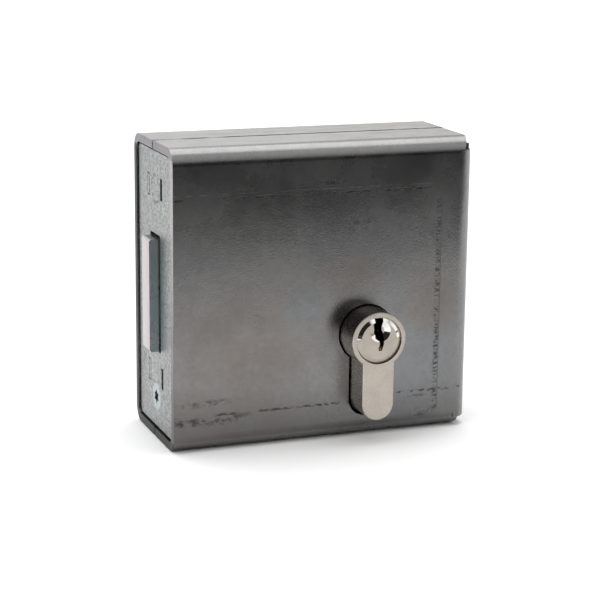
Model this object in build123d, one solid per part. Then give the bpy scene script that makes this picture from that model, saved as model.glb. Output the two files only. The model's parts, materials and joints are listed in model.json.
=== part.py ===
from build123d import *
import os

os.makedirs("parts", exist_ok=True)

# Frame: +X runs from the bolt end to the closed end, -Y is the keyed front, +Z is up.
# The origin is the middle of the bounding box, on the surface that the case stands on.

# Case: two folded half shells of plain sheet, open at the bolt end
case_length = 95.0
case_height = 90.0
case_depth = 40.0
sheet = 2.5
bend_outer = 5.0
bend_inner = bend_outer - sheet
seam_gap = 0.3
seam_groove = 0.5
top_flange_stop = 2.0
back_flange_stop = 1.6
bottom_flange_stop = 2.9
top_corner_cut = 2.0
bottom_corner_cut = 0.6
end_wall_low = 2.7
end_wall_high = 87.3
bend_relief_low = 2.7
bend_relief_high = 85.8
weld_radius = 1.6
weld_length = 12.0
weld_places = (-20.0, 10.0, 38.0)
end_weld_levels = (25.0, 65.0)

# Faceplate and the slots through it
face_recess = 0.6
face_plate = 2.5
face_inset = 3.1
face_corner = 1.8
tab_width = 2.0
tab_length = 6.5
tab_play = 0.3
tab_levels = (19.25, 76.25)
front_tab_recess = 2.2
slot_width = 10.0
slot_corner = 0.6
slot_low = 26.7
slot_high = 62.3

# Lock insert: a folded tray and a flat cover with 11 mm between them
plate = 2.0
chamber = 11.0
insert_length = 81.3
insert_low = 4.5
insert_high = 85.5
rim = 2.0

# Bolt
bolt_proud = 3.1
bolt_thick = 8.0
bolt_low = 27.2
bolt_height = 34.0
bolt_head_length = 30.2
bolt_bevel = 0.15
bolt_bevel_start = -1.1
bolt_end_chamfer = 0.5
throw = 20.0
rivet_levels = (34.5, 53.0)
rivet_radius = 2.0
rivet_inset = 6.0
tail_lap = 12.0
tail_fit = 0.03
tail_foot = 30.0
tail_thick = 4.0
tail_low = 47.6
tail_high = 58.5
horn_low = 44.0
horn_width = 6.0
notch_side = 4.6
notch_reach = (2.0, 18.0)

# Double profile cylinder
axis_from_case_end = 60.4
axis_height = 32.0
cylinder_length = 60.0
barrel_radius = 8.5
profile_width = 10.0
profile_height = 33.0
cam_gap = 10.0
web_top = 15.5
plug_radius = 6.5
plug_bore = 6.55
flange_radius = 7.0
flange_bore = 7.15
flange_depth = 1.5
flange_chamfer = 1.3
flange_chamfer_depth = 0.55
key_sink_place = (0.3, 2.8)
key_sink_radius = 3.25
key_sink_depth = 0.95
key_sink_slope = 1.65
key_pocket_depth = 1.8
hub_radius = 5.5
hub_bore = 5.56
hub_end = 1.5
hub_length = 4.2
clip_groove = 4.9
barrel_start = 5.0
cutout_play = 0.45
cutout_below = 1.2
clip_outer = 6.3
clip_inner = 4.95
clip_span = (-4.95, -4.25)
clip_gap = 2.4

# Pins in the cylinder
pin_count = 5
pin_pitch = 4.0
first_pin = 5.0
chamber_radius = 1.5
pin_radius = 1.42
shear_play = 0.12
driver_length = 5.0
plug_cap_length = 2.5
spring_wire = 0.2

# Cam
cam_half = 4.7
lobe_reach = 15.0
lobe_half = 3.2

# Cylinder screw, M5 countersunk
screw_height = 12.2
screw_radius = 2.4
screw_head_radius = 4.3
screw_tip_past_axis = 4.0
screw_lobes = 6
screw_lobe_radius = 0.48
screw_lobe_reach = 1.65
screw_core_radius = 1.5
screw_recess_depth = 1.9

# Posts, rivets and the detent spring
post_radius = 3.0
spigot_radius = 2.0
guide_radius = 1.8
spring_strip = 0.6
spring_width = 6.0
post_tap_radius = 1.5
post_tap_depth = 7.0
pin_shoulder = 0.6

# Places worked out from the dimensions above
overall = case_length + bolt_proud - face_recess
tip_x = -overall / 2
right_x = overall / 2
left_x = right_x - case_length
half_depth = case_depth / 2
axis_x = left_x + axis_from_case_end
profile_bottom = axis_height + barrel_radius - profile_height
face_x = left_x + face_recess
insert_x = face_x + face_plate
insert_end = insert_x + insert_length
clear = chamber / 2
half_cylinder = cylinder_length / 2
near_posts = insert_x + 7.3
far_posts = insert_end - 9.0
post_places = ((near_posts, 20.0), (far_posts, 12.0), (near_posts, 76.0), (far_posts, 76.0))
guide_place = (-8.0, 53.0)
spring_post_place = (27.0, 70.0)
detent_x = 5.0


def block(x0, x1, y0, y1, z0, z1):
    return Pos((x0 + x1) / 2, (y0 + y1) / 2, (z0 + z1) / 2) * Box(x1 - x0, y1 - y0, z1 - z0)


def rod_y(x, z, radius, y0, y1):
    return Pos(x, (y0 + y1) / 2, z) * Rot(90, 0, 0) * Cylinder(radius, y1 - y0)


def rod_x(y, z, radius, x0, x1):
    return Pos((x0 + x1) / 2, y, z) * Rot(0, 90, 0) * Cylinder(radius, x1 - x0)


def rod_z(x, y, radius, z0, z1):
    return Pos(x, y, (z0 + z1) / 2) * Cylinder(radius, z1 - z0)


def prism_x(sketch, x0, x1):
    """Sketch drawn in (y, z), from x0 to x1."""
    return Pos(x0, 0, 0) * extrude(Plane.YZ * sketch, x1 - x0)


def prism_y(sketch, y0, y1):
    """Sketch drawn in (x, z), from y0 to y1."""
    return Pos(0, y1, 0) * extrude(Plane.XZ * sketch, y1 - y0)


def prism_z(sketch, z0, z1):
    """Sketch drawn in (x, y), from z0 to z1."""
    return Pos(0, 0, z0) * extrude(sketch, z1 - z0)


def outline(points):
    return make_face(Polyline(*points, close=True))


def rectangle(u0, u1, v0, v1):
    return Pos((u0 + u1) / 2, (v0 + v1) / 2) * Rectangle(u1 - u0, v1 - v0)


def turned(points):
    """Body of revolution about Z from (radius, height) points."""
    return revolve(Plane.XZ * outline(points), Axis.Z)


def save(shape, node):
    solids = shape.solids()
    whole = solids[0] if len(solids) == 1 else Compound(children=list(solids))
    whole.label = node
    export_step(whole, f"parts/{node}.step")


def to_back(shape):
    """Turn a front half of the cylinder round the lock's middle to the back."""
    return Pos(2 * axis_x, 0, 0) * Rot(0, 0, 180) * shape


def profile(radius, half_width, bottom):
    """Cylinder outline in (x, z): a round barrel with a straight tail below it."""
    foot = bottom + half_width
    barrel = Pos(axis_x, axis_height) * Circle(radius)
    tail = rectangle(axis_x - half_width, axis_x + half_width, foot, axis_height)
    return barrel + tail + Pos(axis_x, foot) * Circle(half_width)


def cylinder_opening(play):
    return profile(barrel_radius + play, profile_width / 2 + play, profile_bottom - cutout_below)


# ---- case ----

def folded_section(width, height, rounded):
    """Half-shell section: a sheet wall along u = 0 with bends at the corners listed."""
    outer = rectangle(0, width, 0, height)
    inner = rectangle(sheet, width + sheet, sheet, height - sheet)
    outer_corners = [v for v in outer.vertices() if (v.X < 1e-6 and round(v.Y) in rounded)]
    inner_corners = inner.vertices().sort_by(Axis.X)[:2]
    return fillet(outer_corners, bend_outer) - fillet(inner_corners, bend_inner)


def half_shell(flange_stop):
    """Front half: face, top and bottom flanges, and an end wall folded round the closed end."""
    depth = half_depth - seam_gap / 2
    groove = Rot(0, 0, 45) * Rectangle(2**0.5 * seam_groove, 2**0.5 * seam_groove)
    channel = Pos(-half_depth, 0) * folded_section(depth, case_height, (0, round(case_height)))
    for level in (0, case_height):
        channel -= Pos(-seam_gap / 2, level) * groove
    top_end = right_x - flange_stop
    bottom_end = right_x - bottom_flange_stop
    high_bend = case_height - bend_outer
    side = outline([(left_x, 0), (bottom_end, 0), (bottom_end - bottom_corner_cut, bend_outer),
                    (top_end - top_corner_cut, high_bend), (top_end, case_height), (left_x, case_height)])
    shell = prism_x(channel, left_x, right_x) & prism_y(side, -half_depth - 1, 1)
    bend_x = right_x - bend_outer
    relief_y = -half_depth + 2 * bend_outer
    shell -= block(bend_x, right_x, -half_depth - 1, relief_y, bend_relief_low, bend_relief_high)
    corner = folded_corner(bend_x, bend_outer) - folded_corner(bend_x - 1, bend_inner, sheet)
    shell += prism_z(corner, bend_relief_low, bend_relief_high)
    wall_y = -half_depth + bend_outer
    end_wall = block(right_x - sheet, right_x, wall_y, -seam_gap / 2, end_wall_low, end_wall_high)
    shell += end_wall - prism_z(Pos(right_x, -seam_gap / 2) * groove, 0, case_height)
    return shell - prism_y(cylinder_opening(cutout_play), -half_depth - 1, -half_depth + sheet + 1)


def folded_corner(x0, radius, inset=0.0):
    """Plan of the bend between the face and the end wall, out to a given inset from both."""
    plan = rectangle(x0, right_x - inset, -half_depth + inset, -half_depth + bend_outer)
    rounded = plan.vertices().sort_by(Axis.Y)[:2].sort_by(Axis.X)[-1:]
    return fillet(rounded, radius)


def seam_welds():
    """Short beads that join the two halves along the inside of the seam."""
    beads = []
    inside = block(left_x, right_x - sheet, -bend_outer, bend_outer, sheet, case_height - sheet)
    for x in weld_places:
        for z in (sheet, case_height - sheet):
            beads.append(rod_x(0, z, weld_radius, x - weld_length / 2, x + weld_length / 2) & inside)
    for z in end_weld_levels:
        bead = rod_z(right_x - sheet, 0, weld_radius, z - weld_length / 2, z + weld_length / 2)
        beads.append(bead & inside)
    return Compound(children=[s for b in beads for s in b.solids()])


# ---- lock insert ----

def faceplate():
    width = case_depth - 2 * face_inset
    height = case_height - 2 * face_inset
    sheet_face = Pos(0, case_height / 2) * RectangleRounded(width, height, face_corner)
    bolt_slot = RectangleRounded(slot_width, slot_high - slot_low, slot_corner)
    sheet_face -= Pos(0, (slot_low + slot_high) / 2) * bolt_slot
    for level in tab_levels:
        for side in (-1, 1):
            tab_y = side * (clear + plate / 2)
            sheet_face -= Pos(tab_y, level) * Rectangle(tab_width, tab_length)
    body = prism_x(sheet_face, face_x, insert_x)
    hole = screw_radius + 0.1
    sink = turned([(0, -0.5), (screw_head_radius + 0.6, -0.5), (hole, screw_head_radius - screw_radius),
                   (hole, face_plate + 1), (0, face_plate + 1)])
    return body - Pos(face_x, 0, screw_height) * Rot(0, 90, 0) * sink


def plate_sketch():
    return rectangle(insert_x, insert_end, insert_low, insert_high) - cylinder_opening(cutout_play)


def plate_tabs(side, recess):
    y0 = side * (clear + plate / 2) - tab_width / 2 + tab_play / 2
    tabs = Part()
    for level in tab_levels:
        half = (tab_length - tab_play) / 2
        y1 = y0 + tab_width - tab_play
        tabs += block(face_x + recess, insert_x + 1, y0, y1, level - half, level + half)
    return tabs


def post_holes(y0, y1):
    holes = Part()
    for x, z in post_places:
        holes += rod_y(x, z, spigot_radius, y0, y1)
    for x, z in (guide_place, spring_post_place):
        holes += rod_y(x, z, guide_radius - pin_shoulder, y0, y1)
    return holes


def lock_tray():
    tray = prism_y(plate_sketch(), clear, clear + plate)
    tray += block(insert_x, insert_end, -clear, clear, insert_high - rim, insert_high)
    tray += block(insert_x, insert_end, -clear, clear, insert_low, insert_low + rim)
    tray += block(insert_end - rim, insert_end, -clear, clear, insert_low, insert_high)
    tray += plate_tabs(1, 0.0)
    return tray - post_holes(clear - 1, clear + plate + 1)


def lock_cover():
    cover = prism_y(plate_sketch(), -clear - plate, -clear) + plate_tabs(-1, front_tab_recess)
    return cover - post_holes(-clear - plate - 1, -clear + 1)


def spacer_posts():
    """Posts riveted to the tray, tapped at the cover end for the cover screws."""
    posts = []
    for x, z in post_places:
        post = rod_y(x, z, post_radius, -clear, clear)
        post += rod_y(x, z, spigot_radius, clear - 1, clear + plate)
        posts.append((post - rod_y(x, z, post_tap_radius, -clear - 1, -clear + post_tap_depth)).solid())
    return Compound(children=posts)


def cover_screws():
    """Pan-head screws through the cover into the posts."""
    screws = []
    for x, z in post_places:
        head = turned([(0, 0), (3.3, 0), (3.3, 1.0), (2.4, 1.9), (0, 1.9)])
        shank = Pos(0, 0, -8.2) * Cylinder(1.45, 8.4, align=(Align.CENTER, Align.CENTER, Align.MIN))
        cross = Pos(0, 0, 1.5) * (Box(3.0, 0.7, 1.2) + Box(0.7, 3.0, 1.2))
        screw = (head + shank - cross).solid()
        screws.append(Pos(x, -clear - plate, z) * Rot(90, 0, 0) * screw)
    return Compound(children=screws)


def plain_pin(place):
    """Pin with shouldered ends riveted flush into both plates."""
    x, z = place
    shoulder = rod_y(x, z, guide_radius - pin_shoulder, -clear - plate, clear + plate)
    return rod_y(x, z, guide_radius, -clear, clear) + shoulder


def spring_post():
    x, z = spring_post_place
    post = plain_pin(spring_post_place) + rod_y(x, z, post_radius, -clear + 0.5, clear - 0.5)
    return post - block(x - 4, x + 1.5, -spring_width / 2 - 0.1, spring_width / 2 + 0.1,
                        z - spring_strip / 2 - 0.05, z + spring_strip / 2 + 0.05)


def detent_spring():
    """Leaf spring with a V that sits in one of two notches in the top of the bolt tail."""
    x, z = spring_post_place
    line = [(x + 1.4, z), (x - 5.0, z), (detent_x + 3.6, tail_high + 1.6), (detent_x, tail_high - 1.9),
            (detent_x - 3.6, tail_high + 1.6), (detent_x - 8.0, tail_high + 3.2)]
    upper = [(px, pz + spring_strip / 2) for px, pz in line]
    lower = [(px, pz - spring_strip / 2) for px, pz in reversed(line)]
    return prism_y(outline(upper + lower), -spring_width / 2, spring_width / 2)


# ---- bolt ----

def bolt_head():
    back_x = tip_x + bolt_head_length
    half = bolt_thick / 2
    plan = outline([(tip_x, -half), (tip_x, bolt_bevel_start), (tip_x + bolt_bevel, half),
                    (back_x, half), (back_x, -half)])
    head = prism_z(plan, bolt_low, bolt_low + bolt_height)
    ends = head.edges().filter_by(Axis.Y).group_by(Axis.X)[0]
    head = chamfer(ends, bolt_end_chamfer)
    fork = tail_thick / 2 + tail_fit
    head -= block(back_x - tail_lap, back_x + 1, -fork, fork, tail_foot - 0.5, tail_high + 1)
    for z in rivet_levels:
        head -= rod_y(back_x - rivet_inset, z, rivet_radius, -half - 1, half + 1)
    return head


def bolt_tail():
    """Flat bar from the head over the cylinder, with two horns that the cam drives."""
    root = tip_x + bolt_head_length
    end = insert_end - rim - 0.8
    low, high = notch_reach
    lap_x = root - tail_lap + 0.1
    horn_x = axis_x + low - horn_width
    plan = outline([(lap_x, tail_foot), (root, tail_foot), (root, tail_low), (horn_x - 1.0, tail_low),
                    (horn_x, horn_low), (axis_x + low, horn_low), (axis_x + low, tail_low),
                    (axis_x + high, tail_low), (axis_x + high, horn_low), (end, horn_low),
                    (end, tail_high), (lap_x, tail_high)])
    for x in (detent_x, detent_x + throw):
        plan -= Pos(x, tail_high) * Rot(0, 0, 45) * Rectangle(notch_side, notch_side)
    x, z = guide_place
    plan -= Pos(x + throw / 2, z) * SlotCenterToCenter(throw, 2 * guide_radius + 0.3)
    for level in rivet_levels:
        plan -= Pos(root - rivet_inset, level) * Circle(rivet_radius)
    return prism_y(plan, -tail_thick / 2, tail_thick / 2)


def bolt_rivets():
    x = tip_x + bolt_head_length - rivet_inset
    half = bolt_thick / 2
    rivets = [rod_y(x, z, rivet_radius - 0.02, -half, half) for z in rivet_levels]
    return Compound(children=[r.solid() for r in rivets])


# ---- cylinder ----

def pin_stations():
    return [-half_cylinder + first_pin + i * pin_pitch for i in range(pin_count)]


def cylinder_body():
    body = prism_y(profile(barrel_radius, profile_width / 2, profile_bottom), -half_cylinder, half_cylinder)
    faces = body.faces().sort_by(Axis.Y)
    body = chamfer(faces[0].edges() + faces[-1].edges(), 0.25)
    body -= block(axis_x - 10, axis_x + 10, -cam_gap / 2, cam_gap / 2, web_top, 60)
    body -= rod_y(axis_x, axis_height, plug_bore, -half_cylinder - 1, half_cylinder + 1)
    for end in (-1, 1):
        y0, y1 = sorted((end * (half_cylinder + 1), end * (half_cylinder - flange_depth - 0.1)))
        body -= rod_y(axis_x, axis_height, flange_bore, y0, y1)
    bore_top = axis_height - plug_radius + 0.5
    for y in pin_stations():
        for station in (y, -y):
            body -= rod_z(axis_x, station, chamber_radius, profile_bottom - 1, bore_top)
    return body - rod_x(0, screw_height, screw_radius + 0.05, axis_x - 10, axis_x + 10)


def keyway():
    """Keyway section in (x, z) about the plug axis, open at the top of the plug."""
    left = [(-1.55, 8.0), (-1.45, 6.4), (-1.0, 3.0), (-1.1, 0.6), (0.0, -0.2), (0.2, -1.0), (-0.3, -2.4)]
    right = [(1.1, -2.4), (1.5, -1.0), (1.6, 2.0), (1.0, 3.0), (1.2, 6.4), (1.3, 8.0)]
    return outline(left + [(0.0, -3.1), (0.8, -3.1)] + right)


def front_plug():
    """Plug with its flange at the face, a hub in the cam and a slot for the coupler."""
    front = half_cylinder
    points = [(0, hub_end), (hub_radius, hub_end), (hub_radius, hub_length), (clip_groove, hub_length),
              (clip_groove, barrel_start), (plug_radius, barrel_start),
              (plug_radius, front - flange_depth), (flange_radius, front - flange_depth),
              (flange_radius, front - flange_chamfer_depth), (flange_radius - flange_chamfer, front),
              (0, front)]
    plug = Pos(axis_x, 0, axis_height) * Rot(90, 0, 0) * turned(points)
    plug -= prism_y(Pos(axis_x, axis_height) * keyway(), -front - 1, -5.6)
    sink_x = axis_x + key_sink_place[0]
    sink_z = axis_height + key_sink_place[1]
    sink = turned([(0, 0), (key_sink_radius - key_sink_slope, 0), (key_sink_radius, key_sink_depth),
                   (key_sink_radius, 2), (0, 2)])
    plug -= Pos(sink_x, -front + key_sink_depth, sink_z) * Rot(90, 0, 0) * sink
    pocket_side = outline([(-0.9, 2.8), (-4, 2.4), (-4, -0.9), (-2.8, -1.4), (-1.2, -1.0)])
    pocket = Circle(key_sink_radius) & pocket_side
    plug -= prism_y(Pos(sink_x, sink_z) * pocket, -front - 1, -front + key_pocket_depth)
    for y in pin_stations():
        plug -= rod_z(axis_x, y, chamber_radius, axis_height - 8, axis_height - 1.5)
    slot_end = -hub_end - 1.5
    plug -= block(axis_x - 1.1, axis_x + 1.1, slot_end, -hub_end + 1, axis_height - 7, axis_height + 7)
    return plug


def circlip():
    """Open retaining ring in the groove behind the plug."""
    front, back = clip_span
    ring = rod_y(axis_x, axis_height, clip_outer, front, back)
    ring -= rod_y(axis_x, axis_height, clip_inner, -6, -3)
    return ring - block(axis_x - clip_gap / 2, axis_x + clip_gap / 2, -6, -3, axis_height, axis_height + 8)


def key_pins():
    pins = []
    for i, y in enumerate(pin_stations()):
        top = -1.5 - 0.25 * (i % 3)
        low = -plug_radius + shear_play
        shape = turned([(0, low), (pin_radius - 0.4, low), (pin_radius, low + 0.3), (pin_radius, top - 0.8),
                        (0.4, top), (0, top)])
        pins.append(Pos(axis_x, y, axis_height) * shape)
    return Compound(children=[p.solid() for p in pins])


def driver_pins():
    top = axis_height - plug_bore - shear_play
    pins = []
    for y in pin_stations():
        pin = turned([(0, 0), (pin_radius - 0.2, 0), (pin_radius, 0.3), (pin_radius, driver_length - 0.5),
                      (pin_radius - 0.5, driver_length), (0, driver_length)])
        pins.append(Pos(axis_x, y, top - driver_length) * pin)
    return Compound(children=[p.solid() for p in pins])


def pin_springs():
    high = axis_height - plug_bore - shear_play - driver_length - 0.1
    low = profile_bottom + 0.3 + plug_cap_length + 0.1
    radius = pin_radius - spring_wire - 0.1
    turns = 6
    height = high - low - 2 * spring_wire
    coil = Helix(pitch=height / turns, height=height, radius=radius)
    start = Plane(origin=coil @ 0, z_dir=coil % 0)
    spring = sweep(start * Circle(spring_wire), path=coil)
    springs = [Pos(axis_x, y, low + spring_wire) * spring for y in pin_stations()]
    return Compound(children=[s.solid() for s in springs])


def chamber_plugs():
    low = profile_bottom + 0.3
    plugs = [rod_z(axis_x, y, chamber_radius - 0.01, low, low + plug_cap_length) for y in pin_stations()]
    return Compound(children=[p.solid() for p in plugs])


def cam():
    """Ring round both plug hubs, with the driving lobe hanging down at rest."""
    lobe = outline([(-4.6, 0), (-lobe_half, -11.0), (-2.2, -lobe_reach), (2.2, -lobe_reach),
                    (lobe_half, -11.0), (4.6, 0)])
    lobe = lobe & Circle(lobe_reach)
    plan = Pos(axis_x, axis_height) * (Circle(barrel_radius) + lobe)
    body = prism_y(plan, -cam_half, cam_half) - rod_y(axis_x, axis_height, hub_bore, -6, 6)
    for end in (-1, 1):
        y0, y1 = sorted((end * 6.0, end * 3.4))
        body -= rod_y(axis_x, axis_height, 6.8, y0, y1)
    return body


def cam_coupler():
    """Disc pressed in the middle of the cam, with a tongue in the front plug's slot."""
    disc = rod_y(axis_x, axis_height, hub_bore - 0.01, -hub_end + 0.2, hub_end - 0.2)
    tongue = block(axis_x - 1.0, axis_x + 1.0, -hub_end - 1.3, 0, axis_height - 5.2, axis_height + 5.2)
    return disc + tongue


def cylinder_screw():
    """Countersunk M5 screw with a six-lobe recess, from the faceplate into the cylinder's web."""
    length = axis_x + screw_tip_past_axis - face_x
    slope = screw_head_radius - screw_radius
    body = turned([(0, 0.05), (screw_head_radius - 0.05, 0.05), (screw_radius, slope),
                   (screw_radius, length - 1), (screw_radius - 0.8, length), (0, length)])
    recess = Circle(screw_core_radius)
    for i in range(screw_lobes):
        recess += Rot(0, 0, 360 / screw_lobes * i) * Pos(screw_lobe_reach, 0) * Circle(screw_lobe_radius)
    body -= prism_z(recess, -1, screw_recess_depth)
    return Pos(face_x, 0, screw_height) * Rot(0, 90, 0) * body


save(half_shell(top_flange_stop), "front_shell")
save(mirror(half_shell(back_flange_stop), about=Plane.XZ), "back_shell")
save(seam_welds(), "seam_welds")
save(faceplate(), "faceplate")
save(lock_tray(), "lock_tray")
save(lock_cover(), "lock_cover")
save(spacer_posts(), "spacer_posts")
save(cover_screws(), "cover_screws")
save(plain_pin(guide_place), "bolt_guide_pin")
save(spring_post(), "spring_post")
save(detent_spring(), "detent_spring")
save(bolt_head(), "bolt_head")
save(bolt_tail(), "bolt_tail")
save(bolt_rivets(), "bolt_rivets")
save(cylinder_body(), "cylinder_body")
save(cylinder_screw(), "cylinder_screw")
save(cam(), "cam")
save(cam_coupler(), "cam_coupler")

half_parts = {"plug": front_plug(), "circlip": circlip(), "key_pins": key_pins(),
              "driver_pins": driver_pins(), "pin_springs": pin_springs(), "chamber_plugs": chamber_plugs()}
for name, shape in half_parts.items():
    save(shape, f"{name}_front")
    save(to_back(shape), f"{name}_back")
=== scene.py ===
import json
import math

import bpy
from mathutils import Matrix, Vector


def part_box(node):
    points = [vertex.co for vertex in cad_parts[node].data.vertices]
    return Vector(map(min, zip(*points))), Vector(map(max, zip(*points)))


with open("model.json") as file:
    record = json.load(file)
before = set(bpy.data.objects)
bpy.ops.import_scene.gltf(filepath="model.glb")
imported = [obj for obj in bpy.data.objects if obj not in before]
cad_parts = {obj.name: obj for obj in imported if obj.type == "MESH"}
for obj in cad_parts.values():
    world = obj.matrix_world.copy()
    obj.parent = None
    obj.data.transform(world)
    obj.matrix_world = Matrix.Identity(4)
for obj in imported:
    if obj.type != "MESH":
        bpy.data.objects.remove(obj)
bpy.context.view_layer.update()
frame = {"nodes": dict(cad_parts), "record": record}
nodes = frame["nodes"]

MM = 0.001

# Places on the object: the case corner and the plug's box read from the frame, the rest given in
# millimetres
case_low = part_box("front_shell")[0]
plug_low, plug_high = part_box("plug_front")
axis_x = (plug_low.x + plug_high.x) / 2
axis_z = 32 * MM
box_middle = 45 * MM
row_end = (33 * MM, 36.5 * MM)


# ---- small node helpers ----

def as_colour(value):
    """A socket as it is, or a colour with its alpha."""
    return value if isinstance(value, bpy.types.NodeSocket) else (*value, 1.0)


class Tree:
    """A material's node tree with short calls for the nodes used here."""

    def __init__(self, name):
        self.material = bpy.data.materials.new(name)
        self.material.use_nodes = True
        self.tree = self.material.node_tree
        self.shader = self.tree.nodes["Principled BSDF"]
        self.coords = self.tree.nodes.new("ShaderNodeTexCoord").outputs["Object"]
        self.axes = self.tree.nodes.new("ShaderNodeSeparateXYZ")
        self.link(self.coords, self.axes.inputs[0])

    def link(self, source, target):
        self.tree.links.new(source, target)

    def put(self, value, socket):
        """Link an output, or set a plain value."""
        if isinstance(value, bpy.types.NodeSocket):
            self.link(value, socket)
        else:
            socket.default_value = value

    def axis(self, letter):
        return self.axes.outputs[letter]

    def math(self, operation, a, b=0.0):
        node = self.tree.nodes.new("ShaderNodeMath")
        node.operation = operation
        for value, socket in zip((a, b), node.inputs):
            self.put(value, socket)
        return node.outputs[0]

    def stretched(self, x=1.0, y=1.0, z=1.0):
        """Object coordinates scaled per axis."""
        node = self.tree.nodes.new("ShaderNodeMapping")
        node.inputs["Scale"].default_value = (x, y, z)
        self.link(self.coords, node.inputs["Vector"])
        return node.outputs[0]

    def noise(self, size, detail=2.0, rough=0.5, vector=None, seed=0.0, distortion=0.0):
        """Noise whose blobs are about size metres across."""
        node = self.tree.nodes.new("ShaderNodeTexNoise")
        node.noise_dimensions = "4D"
        node.inputs["W"].default_value = seed
        node.inputs["Scale"].default_value = 1 / size
        node.inputs["Detail"].default_value = detail
        node.inputs["Roughness"].default_value = rough
        node.inputs["Distortion"].default_value = distortion
        self.link(vector or self.coords, node.inputs["Vector"])
        return node.outputs["Fac"]

    def ramp(self, value, low, high, to_low=0.0, to_high=1.0):
        """Map low..high to to_low..to_high, clamped and eased."""
        node = self.tree.nodes.new("ShaderNodeMapRange")
        node.interpolation_type = "SMOOTHSTEP"
        self.put(value, node.inputs["Value"])
        node.inputs["From Min"].default_value = low
        node.inputs["From Max"].default_value = high
        node.inputs["To Min"].default_value = to_low
        node.inputs["To Max"].default_value = to_high
        return node.outputs["Result"]

    def mix(self, amount, a, b):
        """Blend from a to b; each is a socket or a colour."""
        node = self.tree.nodes.new("ShaderNodeMix")
        node.data_type = "RGBA"
        self.put(amount, node.inputs["Factor"])
        for value, socket in ((a, node.inputs[6]), (b, node.inputs[7])):
            self.put(as_colour(value), socket)
        return node.outputs[2]

    def bump(self, height, depth, below=None):
        """Bump whose full height is depth metres."""
        node = self.tree.nodes.new("ShaderNodeBump")
        node.inputs["Strength"].default_value = 1.0
        node.inputs["Distance"].default_value = depth
        self.link(height, node.inputs["Height"])
        if below is not None:
            self.link(below, node.inputs["Normal"])
        return node.outputs[0]

    def facing(self, letter):
        """How much the true surface normal points along an axis, from -1 to 1."""
        normal = self.tree.nodes.new("ShaderNodeNewGeometry").outputs["True Normal"]
        split = self.tree.nodes.new("ShaderNodeSeparateXYZ")
        self.link(normal, split.inputs[0])
        return split.outputs[letter]

    def band(self, letter, centre, width, edge):
        """1 inside a strip across an axis, falling to 0 over edge."""
        off = self.math("ABSOLUTE", self.math("SUBTRACT", self.axis(letter), centre))
        return self.ramp(off, width / 2, width / 2 + edge, 1.0, 0.0)

    def length(self, a, b):
        squares = self.math("MULTIPLY", a, a), self.math("MULTIPLY", b, b)
        return self.math("SQRT", self.math("ADD", *squares))

    def multiply(self, *values):
        result = values[0]
        for value in values[1:]:
            result = self.math("MULTIPLY", result, value)
        return result

    def most(self, *values):
        result = values[0]
        for value in values[1:]:
            result = self.math("MAXIMUM", result, value)
        return result


def set_shader(kit, colour, metallic, roughness, normal=None):
    """Fill the shader's sockets and return the material."""
    kit.put(as_colour(colour), kit.shader.inputs["Base Color"])
    kit.put(metallic, kit.shader.inputs["Metallic"])
    kit.put(roughness, kit.shader.inputs["Roughness"])
    if normal is not None:
        kit.link(normal, kit.shader.inputs["Normal"])
    return kit.material


# ---- materials ----

def spot(kit, letters, place, across, up, turn=0.0):
    """1 at the middle of an ellipse on a face, falling to 0 at its rim."""
    first = kit.math("SUBTRACT", kit.axis(letters[0]), place[0] * MM)
    second = kit.math("SUBTRACT", kit.axis(letters[1]), place[1] * MM)
    cos, sin = math.cos(turn), math.sin(turn)
    along = kit.math("ADD", kit.math("MULTIPLY", first, cos), kit.math("MULTIPLY", second, sin))
    off = kit.math("SUBTRACT", kit.math("MULTIPLY", second, cos), kit.math("MULTIPLY", first, sin))
    u = kit.math("DIVIDE", along, across * MM)
    v = kit.math("DIVIDE", off, up * MM)
    reach = kit.length(u, v)
    return kit.ramp(reach, 0.3, 1.0, 1.0, 0.0)


def spot_reach(kit, place):
    """Distance on the faceplate from a place given as (y, z) in millimetres."""
    dy = kit.math("SUBTRACT", kit.axis("Y"), place[0] * MM)
    dz = kit.math("SUBTRACT", kit.axis("Z"), place[1] * MM)
    return kit.length(dy, dz)


def painted_slot_shade(kit, level):
    """Painted shade in the gap round a back tab: 1 on the slot's edge, 0 away from it."""
    across = kit.math("ABSOLUTE", kit.math("SUBTRACT", kit.axis("Y"), 6.5 * MM))
    upward = kit.math("ABSOLUTE", kit.math("SUBTRACT", kit.axis("Z"), level * MM))
    past = kit.most(kit.math("SUBTRACT", across, 0.95 * MM), kit.math("SUBTRACT", upward, 3.2 * MM))
    return kit.ramp(kit.math("ABSOLUTE", past), 0.12 * MM, 0.42 * MM, 1.0, 0.0)


def smudge(kit, place, across, up, turn, seed, strength):
    """A dark rubbed patch on the case's sides, broken into grains."""
    grain = kit.noise(1.4 * MM, 3.0, 0.7, seed=seed, distortion=0.4, vector=kit.stretched(0.6, 1, 1))
    return kit.multiply(spot(kit, "XZ", place, across, up, turn), kit.ramp(grain, 0.44, 0.62), strength)


def dashes(kit, level, height, seed, size=0.55, reach=6.0):
    """A row of short pressed ticks along X, fading in and out."""
    tick = kit.ramp(kit.noise(size * MM, 2.0, 0.6, seed=seed, vector=kit.stretched(0.4, 1, 1)), 0.44, 0.54)
    broken = kit.ramp(kit.noise(reach * MM, 2.0, 0.5, seed=seed + 2.2), 0.4, 0.52)
    return kit.multiply(kit.band("Z", level * MM, height * MM, 0.25 * MM), tick, broken)


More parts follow.
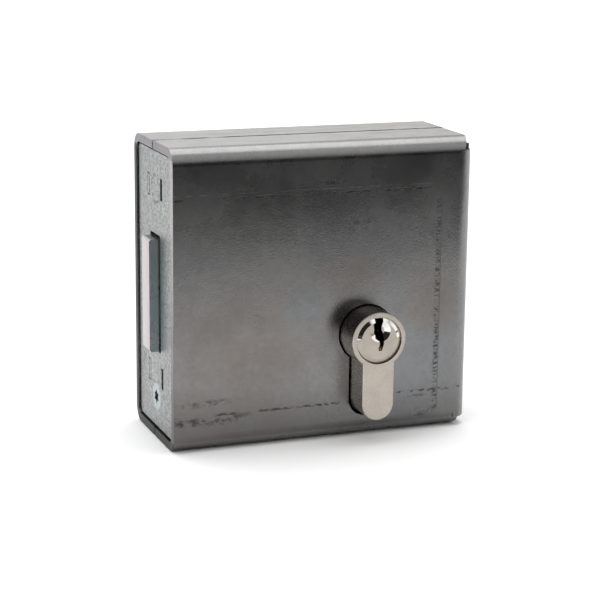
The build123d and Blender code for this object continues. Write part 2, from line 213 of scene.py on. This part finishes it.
def side_marks(kit):
    """Press-tool rows and smudges on the big faces: how dark each point is."""
    left_part = kit.ramp(kit.axis("X"), *row_end, 1.0, 0.0)
    right_part = kit.ramp(kit.axis("X"), 21 * MM, 24 * MM)
    row_high = kit.multiply(dashes(kit, 75.3, 0.4, 5.0), left_part)
    row_low = kit.multiply(dashes(kit, 10.9, 0.5, 7.5, 0.8, 9.0), left_part)
    row_right = kit.multiply(dashes(kit, 12.4, 0.5, 3.3, 0.7, 5.0), right_part)
    tall = kit.band("Z", 39 * MM, 64 * MM, 2 * MM)
    tick = kit.noise(0.7 * MM, 2.0, 0.6, seed=9.0, vector=kit.stretched(0.45, 1, 1.3))
    strip = kit.band("X", 37.1 * MM, 0.7 * MM, 0.9 * MM)
    column = kit.multiply(strip, kit.ramp(tick, 0.42, 0.66), tall, 0.75)
    border = kit.multiply(kit.band("X", 38.0 * MM, 0.12 * MM, 0.2 * MM), tall, 0.35)
    press = kit.most(kit.multiply(kit.most(row_high, kit.multiply(row_low, 0.8)), 0.9),
                     kit.multiply(row_right, 0.7), column, border)
    patches = kit.most(
        smudge(kit, (-3.5, 71.1), 8, 1.9, -0.1, 4.0, 0.55),
        smudge(kit, (12.7, 66.3), 8, 1.8, -0.08, 4.6, 0.6),
        smudge(kit, (0.2, 78.2), 12, 0.9, 0.03, 6.1, 0.8),
        smudge(kit, (-23.7, 77.9), 3.5, 0.8, 0.0, 2.9, 0.5),
        smudge(kit, (-42.0, 9.2), 7, 2.0, 0.0, 7.3, 0.85),
        smudge(kit, (-32, 9.4), 15, 2.2, 0.04, 3.7, 0.6),
        smudge(kit, (-36, 14.6), 13, 1.5, 0.04, 5.2, 0.45),
        smudge(kit, (33.1, 5.5), 6, 2.2, 0.15, 8.8, 0.55),
        smudge(kit, (15, 12.5), 7, 1.2, 0.0, 1.9, 0.5),
    )
    return press, patches


def top_lines(kit):
    """Fine drawn lines along the top and bottom flanges."""
    streak = kit.noise(1.5 * MM, 3.0, 0.6, vector=kit.stretched(0.06, 1, 1), seed=6.5)
    lines = []
    for level, width, low, strength in ((6.2, 0.6, 0.46, 0.9), (-5.0, 0.5, 0.48, 0.8),
                                        (-10.8, 0.7, 0.52, 0.5), (12.8, 0.5, 0.52, 0.5)):
        line = kit.band("Y", level * MM, width * MM, 0.3 * MM)
        lines.append(kit.multiply(line, kit.ramp(streak, low, low + 0.16), strength))
    return kit.most(*lines), kit.ramp(streak, 0.4, 0.7, 0.0, 0.25)


def sheared_edge(kit):
    """Colour of the sheet's cut ends at the open side: painted highlight on top and along the back rim,
    painted shade behind, below and in the seam.
    """
    shear = kit.ramp(kit.noise(0.8 * MM, 2.0, 0.6, seed=4.4), 0.35, 0.65)
    # The front strip goes darker towards the bottom.
    front = kit.mix(kit.ramp(kit.axis("Z"), 8 * MM, 80 * MM), (0.15, 0.14, 0.135), (0.44, 0.43, 0.42))
    # Painted highlight on the top cut edge, painted shade on the bottom cut edge and on the back strip.
    over = kit.ramp(kit.axis("Z"), 86.4 * MM, 87.0 * MM)
    painted_shade_bottom_edge = kit.ramp(kit.axis("Z"), 2.6 * MM, 3.4 * MM, 1.0, 0.0)
    behind = kit.ramp(kit.axis("Y"), 16.8 * MM, 17.2 * MM)
    # Painted highlight along the back strip's outer rim.
    rim = kit.ramp(kit.axis("Y"), 19.25 * MM, 19.6 * MM)
    colour = kit.mix(behind, front, (0.03, 0.03, 0.03))
    colour = kit.mix(kit.multiply(rim, 0.9), colour, (0.22, 0.22, 0.22))
    colour = kit.mix(painted_shade_bottom_edge, colour, (0.036, 0.034, 0.033))
    colour = kit.mix(over, colour, (0.265, 0.253, 0.27))
    burr = kit.ramp(kit.noise(0.45 * MM, 2.0, 0.6, seed=8.8), 0.66, 0.74)
    colour = kit.mix(kit.multiply(burr, painted_shade_bottom_edge, 0.7), colour, (0.5, 0.49, 0.48))
    colour = kit.mix(kit.multiply(shear, 0.3), colour, (0.08, 0.078, 0.078))
    # Painted shade in the seam gap across the cut ends.
    return kit.mix(kit.band("Y", -0.15 * MM, 0.3 * MM, 0.3 * MM), colour, (0.03, 0.03, 0.03))


def case_steel():
    """Bare sheet with mill scale: cloudy, pebbled, with press marks and smudges; painted shade and painted
    highlights on the big faces, the lid, the seam and the cut ends.
    """
    kit = Tree("case_steel")
    cloud = kit.ramp(kit.noise(24 * MM, 3.0, 0.55, seed=3.1), 0.35, 0.68)
    colour = kit.mix(cloud, (0.218, 0.215, 0.212), (0.198, 0.198, 0.200))
    warm = kit.most(spot(kit, "XZ", (8.5, 50), 15, 9), spot(kit, "XZ", (34.9, 40.6), 12, 14),
                    spot(kit, "XZ", (-24, 32), 34, 24), spot(kit, "XZ", (-30, 10), 34, 16))
    uneven = kit.ramp(kit.noise(9 * MM, 3.0, 0.55, seed=8.4), 0.3, 0.55, 0.35, 1.0)
    colour = kit.mix(kit.multiply(warm, uneven, 0.9), colour, (0.192, 0.174, 0.162))
    cool = kit.most(spot(kit, "XZ", (-7, 41), 9, 12), spot(kit, "XZ", (30, 22), 14, 14))
    colour = kit.mix(kit.multiply(cool, 0.6), colour, (0.196, 0.206, 0.216))
    mottle = kit.noise(1.5 * MM, 3.0, 0.6, seed=1.7)
    colour = kit.mix(kit.ramp(mottle, 0.3, 0.75, 0.0, 0.22), colour, (0.10, 0.098, 0.097))

    side = kit.ramp(kit.math("ABSOLUTE", kit.axis("Y")), 19.3 * MM, 19.8 * MM)
    off_middle = kit.math("ABSOLUTE", kit.math("SUBTRACT", kit.axis("Z"), box_middle))
    lid = kit.ramp(off_middle, 44.3 * MM, 44.8 * MM)
    press, patches = side_marks(kit)
    lines, sheen = top_lines(kit)
    # Painted shade on the big faces, darker towards the bottom edge and above about 70 mm; scale carries
    # both.
    painted_shade_low = kit.ramp(kit.axis("Z"), 1 * MM, 22 * MM, 0.6, 0.0)
    painted_shade_high = kit.ramp(kit.axis("Z"), 64 * MM, 76 * MM, 0.0, 0.4)
    scale = kit.math("ADD", painted_shade_low, painted_shade_high)
    colour = kit.mix(kit.multiply(scale, side), colour, (0.10, 0.098, 0.096))
    # Painted highlight on the top and bottom faces towards the left end, painted shade towards the right
    # end.
    painted_lid_highlight = kit.ramp(kit.axis("X"), -46 * MM, 10 * MM, 0.38, 0.0)
    colour = kit.mix(kit.multiply(painted_lid_highlight, lid), colour, (0.30, 0.295, 0.29))
    painted_lid_shade = kit.ramp(kit.axis("X"), -20 * MM, 46 * MM, 0.0, 0.6)
    colour = kit.mix(kit.multiply(painted_lid_shade, lid), colour, (0.145, 0.128, 0.118))
    colour = kit.mix(kit.multiply(sheen, lid), colour, (0.36, 0.34, 0.32))
    # Painted shade in the seam gap between the shells, broken up by noise.
    gap = kit.ramp(kit.noise(7 * MM, 2.0, 0.6, seed=5.9), 0.36, 0.52, 0.35, 1.0)
    seam = kit.multiply(kit.band("Y", 0.0, 1.1 * MM, 0.4 * MM), gap)
    # dark joins the real press marks, smudges and flange lines with the painted seam shade.
    dark = kit.most(kit.multiply(kit.most(press, patches), side), kit.multiply(lines, lid, 0.6), seam)
    colour = kit.mix(dark, colour, (0.033, 0.031, 0.031))
    # Painted highlight: a thin glinting line along the upper pressed row, left part only.
    glint = kit.ramp(kit.noise(4 * MM, 2.0, 0.5, seed=2.2), 0.4, 0.6)
    painted_row_glint = kit.multiply(kit.band("Z", 76.55 * MM, 0.12 * MM, 0.2 * MM), glint, side, 0.4)
    painted_row_glint = kit.multiply(painted_row_glint, kit.ramp(kit.axis("X"), *row_end, 1.0, 0.0))
    colour = kit.mix(painted_row_glint, colour, (0.42, 0.41, 0.40))
    cut = kit.ramp(kit.axis("X"), case_low.x + 0.1 * MM, case_low.x + 0.15 * MM, 1.0, 0.0)
    colour = kit.mix(cut, colour, sheared_edge(kit))

    worn = kit.math("ADD", kit.multiply(dark, 0.18), kit.multiply(cut, 0.2))
    roughness = kit.ramp(kit.noise(12 * MM, 3.0, 0.6, seed=7.0), 0.3, 0.7, 0.23, 0.30)
    roughness = kit.math("ADD", roughness, worn)
    normal = kit.bump(kit.noise(14 * MM, 1.0, 0.4, seed=0.9), 0.03 * MM)
    normal = kit.bump(kit.noise(0.42 * MM, 2.0, 0.5, seed=0.5), 0.022 * MM, below=normal)
    normal = kit.bump(kit.math("SUBTRACT", 1.0, press), 0.012 * MM, below=normal)
    return set_shader(kit, colour, 1.0, roughness, normal)


def weld():
    kit = Tree("weld")
    ripple = kit.noise(0.9 * MM, 2.0, 0.5)
    colour = kit.mix(ripple, (0.18, 0.17, 0.16), (0.30, 0.28, 0.26))
    return set_shader(kit, colour, 1.0, kit.ramp(ripple, 0.3, 0.7, 0.4, 0.6), kit.bump(ripple, 0.1 * MM))


def galvanised():
    """Zinc-coated sheet: grey, speckled at a millimetre's scale, with dirty pits and a scribble, a dotted
    ring and painted shade round the back tab slots.
    """
    kit = Tree("galvanised")
    mottle = kit.noise(0.85 * MM, 3.0, 0.7, seed=2.0)
    drawn = kit.noise(1.2 * MM, 3.0, 0.6, vector=kit.stretched(1, 1, 0.2), seed=5.5)
    cloud = kit.noise(14 * MM, 2.0, 0.5, seed=1.1)
    colour = kit.mix(kit.ramp(mottle, 0.35, 0.65), (0.36, 0.375, 0.368), (0.175, 0.183, 0.18))
    colour = kit.mix(kit.ramp(drawn, 0.4, 0.7, 0.0, 0.2), colour, (0.38, 0.395, 0.388))
    colour = kit.mix(kit.ramp(cloud, 0.35, 0.7, 0.0, 0.35), colour, (0.225, 0.225, 0.23))
    pits = kit.ramp(kit.noise(0.8 * MM, 2.0, 0.6, seed=9.1), 0.6, 0.7)
    ring = kit.math("ABSOLUTE", kit.math("SUBTRACT", spot_reach(kit, (-0.7, 75.7)), 4 * MM))
    dots = kit.ramp(kit.noise(0.9 * MM, 1.0, 0.5, seed=3.7), 0.48, 0.58)
    ring = kit.multiply(kit.ramp(ring, 0.25 * MM, 0.6 * MM, 1.0, 0.0), dots, 0.8)
    scribble = kit.multiply(spot(kit, "YZ", (11.5, 22), 3.2, 5.5), kit.ramp(mottle, 0.48, 0.6), 0.8)
    # Painted shade round the back tab slots; below it joins the real pits, dotted ring and scribble.
    painted_slot_shades = kit.multiply(kit.most(painted_slot_shade(kit, 19.25), painted_slot_shade(kit, 76.25)), 0.75)
    dirt_and_slot_shade = kit.most(kit.multiply(pits, 0.55), ring, scribble, painted_slot_shades)
    colour = kit.mix(dirt_and_slot_shade, colour, (0.06, 0.06, 0.06))
    roughness = kit.ramp(mottle, 0.3, 0.7, 0.36, 0.5)
    normal = kit.bump(kit.noise(0.8 * MM, 2.0, 0.5, seed=6.0), 0.03 * MM)
    return set_shader(kit, colour, 1.0, roughness, normal)


def turned_steel(name, colour, rough):
    """Plain machined steel with fine turning lines."""
    kit = Tree(name)
    rings = kit.noise(0.35 * MM, 2.0, 0.6, vector=kit.stretched(0.15, 1, 0.15))
    stain = kit.noise(4 * MM, 3.0, 0.5)
    tone = kit.mix(kit.ramp(stain, 0.35, 0.7), colour, tuple(c * 0.75 for c in colour))
    return set_shader(kit, tone, 1.0, kit.ramp(rings, 0.3, 0.7, rough - 0.05, rough + 0.1),
                      kit.bump(rings, 0.01 * MM))


def zinc_screw():
    """Blue-passivated zinc plating."""
    kit = Tree("zinc_screw")
    stain = kit.noise(2.5 * MM, 3.0, 0.5)
    colour = kit.mix(kit.ramp(stain, 0.35, 0.7), (0.365, 0.42, 0.425), (0.30, 0.35, 0.355))
    roughness = kit.ramp(kit.noise(0.8 * MM, 2.0, 0.5), 0.3, 0.7, 0.28, 0.4)
    return set_shader(kit, colour, 1.0, roughness, kit.bump(kit.noise(0.5 * MM, 2.0, 0.5), 0.008 * MM))


def satin_nickel():
    """Satin nickel plate, with painted shade where it faces up and a painted highlight where it faces the
    bolt end.
    """
    kit = Tree("nickel")
    stain = kit.noise(6 * MM, 2.0, 0.5)
    colour = kit.mix(kit.ramp(stain, 0.35, 0.7), (0.425, 0.385, 0.34), (0.39, 0.35, 0.308))
    # Painted shade: the colour goes dark where the barrel faces up.
    colour = kit.mix(kit.ramp(kit.facing("Z"), 0.0, 0.6, 0.0, 0.6), colour, (0.08, 0.078, 0.075))
    # Painted highlight: the colour goes lighter where the barrel faces the bolt end.
    colour = kit.mix(kit.ramp(kit.facing("X"), -0.9, -0.3, 0.35, 0.0), colour, (0.62, 0.57, 0.51))
    grain = kit.noise(0.4 * MM, 2.0, 0.6, seed=2.0)
    roughness = kit.ramp(grain, 0.3, 0.7, 0.25, 0.29)
    return set_shader(kit, colour, 1.0, roughness, kit.bump(grain, 0.001 * MM))


def plug_nickel():
    """Nickel on the plug: satin flat face and lower rim, polished bevels and keyway."""
    kit = Tree("plug_nickel")
    stain = kit.noise(5 * MM, 2.0, 0.5, seed=1.0)
    satin = kit.mix(kit.ramp(stain, 0.35, 0.7), (0.397, 0.357, 0.312), (0.357, 0.322, 0.281))
    dx = kit.math("SUBTRACT", kit.axis("X"), axis_x)
    dz = kit.math("SUBTRACT", kit.axis("Z"), axis_z)
    reach = kit.length(dx, dz)
    rim = kit.ramp(reach, 5.3 * MM, 5.6 * MM)
    # The rim's lower part takes the satin colour and roughness of the flat face.
    lower_rim = kit.multiply(rim, kit.ramp(dz, 0.5 * MM, 0.9 * MM, 1.0, 0.0))
    flat = kit.most(kit.ramp(kit.math("ABSOLUTE", kit.facing("Y")), 0.95, 0.99), lower_rim)
    colour = kit.mix(flat, (0.80, 0.78, 0.75), satin)
    grain = kit.noise(0.3 * MM, 2.0, 0.5)
    roughness = kit.math("ADD", kit.multiply(flat, 0.17), kit.ramp(grain, 0.3, 0.7, 0.04, 0.08))
    return set_shader(kit, colour, 1.0, roughness, kit.bump(grain, 0.002 * MM))


def bolt_steel():
    """Plated bolt: slate-blue flanks, a ground end coloured in two painted reflection tones, and a painted
    highlight where it faces up.
    """
    kit = Tree("bolt_steel")
    drawn = kit.noise(0.6 * MM, 2.0, 0.6, vector=kit.stretched(0.1, 1, 0.1))
    stain = kit.noise(7 * MM, 3.0, 0.5, seed=4.0)
    flank = kit.mix(kit.ramp(stain, 0.4, 0.65), (0.34, 0.41, 0.43), (0.42, 0.435, 0.455))
    # Painted reflection: the ground end's colour is split into two tones across its middle.
    painted_reflection_split = kit.ramp(kit.axis("Y"), -0.3 * MM, -0.1 * MM)
    end = kit.mix(painted_reflection_split, (0.403, 0.339, 0.364), (0.384, 0.372, 0.350))
    on_end = kit.ramp(kit.facing("X"), -0.8, -0.6, 1.0, 0.0)
    # Painted highlight: faces that point up get a lighter colour.
    painted_bolt_top_highlight = kit.ramp(kit.facing("Z"), 0.4, 0.8)
    colour = kit.mix(painted_bolt_top_highlight, kit.mix(on_end, flank, end), (0.46, 0.46, 0.45))
    roughness = kit.ramp(drawn, 0.3, 0.7, 0.24, 0.34)
    return set_shader(kit, colour, 1.0, roughness, kit.bump(drawn, 0.006 * MM))


def plated_brass():
    kit = Tree("brass_pins")
    stain = kit.noise(1.5 * MM, 2.0, 0.5)
    colour = kit.mix(stain, (0.78, 0.60, 0.27), (0.62, 0.46, 0.20))
    return set_shader(kit, colour, 1.0, kit.ramp(stain, 0.3, 0.7, 0.2, 0.35), kit.bump(stain, 0.01 * MM))


MATERIALS = {
    "case_steel": case_steel(),
    "weld": weld(),
    "galvanised": galvanised(),
    "turned_steel": turned_steel("turned_steel", (0.52, 0.52, 0.52), 0.3),
    "spring_steel": turned_steel("spring_steel", (0.26, 0.28, 0.32), 0.32),
    "cam_steel": turned_steel("cam_steel", (0.42, 0.42, 0.42), 0.42),
    "zinc_screw": zinc_screw(),
    "nickel": satin_nickel(),
    "plug_nickel": plug_nickel(),
    "bolt_steel": bolt_steel(),
    "brass_pins": plated_brass(),
}


def finish_nodes():
    """Give each CAD node the material of its slot in the record."""
    for entry in frame["record"]["subparts"]:
        obj = nodes[entry["node"]]
        obj.data.materials.clear()
        obj.data.materials.append(MATERIALS[entry["material_slot"]])


# ---- studio ----

def plain(name, colour):
    return set_shader(Tree(name), colour, 0.0, 1.0)


def sheet_object(name, x0, x1, y0, y1, z, material):
    mesh = bpy.data.meshes.new(name)
    mesh.from_pydata([(x0, y0, z), (x1, y0, z), (x1, y1, z), (x0, y1, z)], [], [(0, 1, 2, 3)])
    mesh.materials.append(material)
    obj = bpy.data.objects.new(name, mesh)
    bpy.context.scene.collection.objects.link(obj)
    return obj


def area_light(name, place, aim, width, height, power):
    data = bpy.data.lights.new(name, "AREA")
    data.shape = "RECTANGLE"
    data.size = width
    data.size_y = height
    data.energy = power
    obj = bpy.data.objects.new(name, data)
    obj.location = place
    obj.rotation_euler = (Vector(aim) - Vector(place)).to_track_quat("-Z", "Y").to_euler()
    bpy.context.scene.collection.objects.link(obj)


def studio():
    """Pale floor, soft surrounding light, and a dark sheet in front that shows only in reflections."""
    sheet_object("floor", -4, 4, -4, 4, -0.0002, plain("floor", (0.92, 0.92, 0.92)))
    flag = sheet_object("flag", -2.2, 2.2, -4.0, -0.25, 0.0005, plain("flag", (0.012, 0.012, 0.012)))
    flag.visible_camera = False
    flag.visible_shadow = False

    world = bpy.data.worlds.new("studio")
    world.use_nodes = True
    tree = world.node_tree
    coords = tree.nodes.new("ShaderNodeTexCoord")
    split = tree.nodes.new("ShaderNodeSeparateXYZ")
    tree.links.new(coords.outputs["Generated"], split.inputs[0])

    def sky_ramp(letter, low, high, to_low, to_high):
        node = tree.nodes.new("ShaderNodeMapRange")
        node.interpolation_type = "SMOOTHSTEP"
        node.inputs["From Min"].default_value = low
        node.inputs["From Max"].default_value = high
        node.inputs["To Min"].default_value = to_low
        node.inputs["To Max"].default_value = to_high
        tree.links.new(split.outputs[letter], node.inputs["Value"])
        return node.outputs["Result"]

    # Bright behind the object, dark in front of it, with a bright panel high on the right
    fade = sky_ramp("Y", -0.76, -0.52, 0.02, 1.15)
    right = sky_ramp("X", -0.02, 0.12, 0.0, 1.0)
    high = sky_ramp("Z", 0.22, 0.42, 0.0, 1.15)
    tree.nodes["Background"].inputs["Color"].default_value = (1, 1, 1, 1)
    panel = tree.nodes.new("ShaderNodeMath")
    panel.operation = "MULTIPLY"
    both = tree.nodes.new("ShaderNodeMath")
    both.operation = "MAXIMUM"
    tree.links.new(right, panel.inputs[0])
    tree.links.new(high, panel.inputs[1])
    tree.links.new(panel.outputs[0], both.inputs[0])
    tree.links.new(fade, both.inputs[1])
    tree.links.new(both.outputs[0], tree.nodes["Background"].inputs["Strength"])
    bpy.context.scene.world = world

    area_light("top_box", (0.0, 0.25, 1.1), (0, 0.1, 0), 1.4, 1.0, 9)


def camera():
    yaw, pitch, roll = math.radians(20.827), math.radians(13.423), math.radians(0.626)
    forward = Vector((math.sin(yaw) * math.cos(pitch), math.cos(yaw) * math.cos(pitch), -math.sin(pitch)))
    right = Vector((math.cos(yaw), -math.sin(yaw), 0))
    up = right.cross(forward)
    level = math.cos(roll) * right + math.sin(roll) * up
    upright = math.cos(roll) * up - math.sin(roll) * right
    data = bpy.data.cameras.new("camera")
    data.sensor_width = 36
    data.lens = 109.548
    data.clip_start = 0.01
    data.clip_end = 20
    obj = bpy.data.objects.new("camera", data)
    turn = Matrix((level, upright, -forward)).transposed().to_4x4()
    obj.matrix_world = Matrix.Translation((-0.193444, -0.509354, 0.168685)) @ turn
    bpy.context.scene.collection.objects.link(obj)
    bpy.context.scene.camera = obj


camera()
finish_nodes()
studio()
bpy.context.scene.view_settings.view_transform = "Standard"
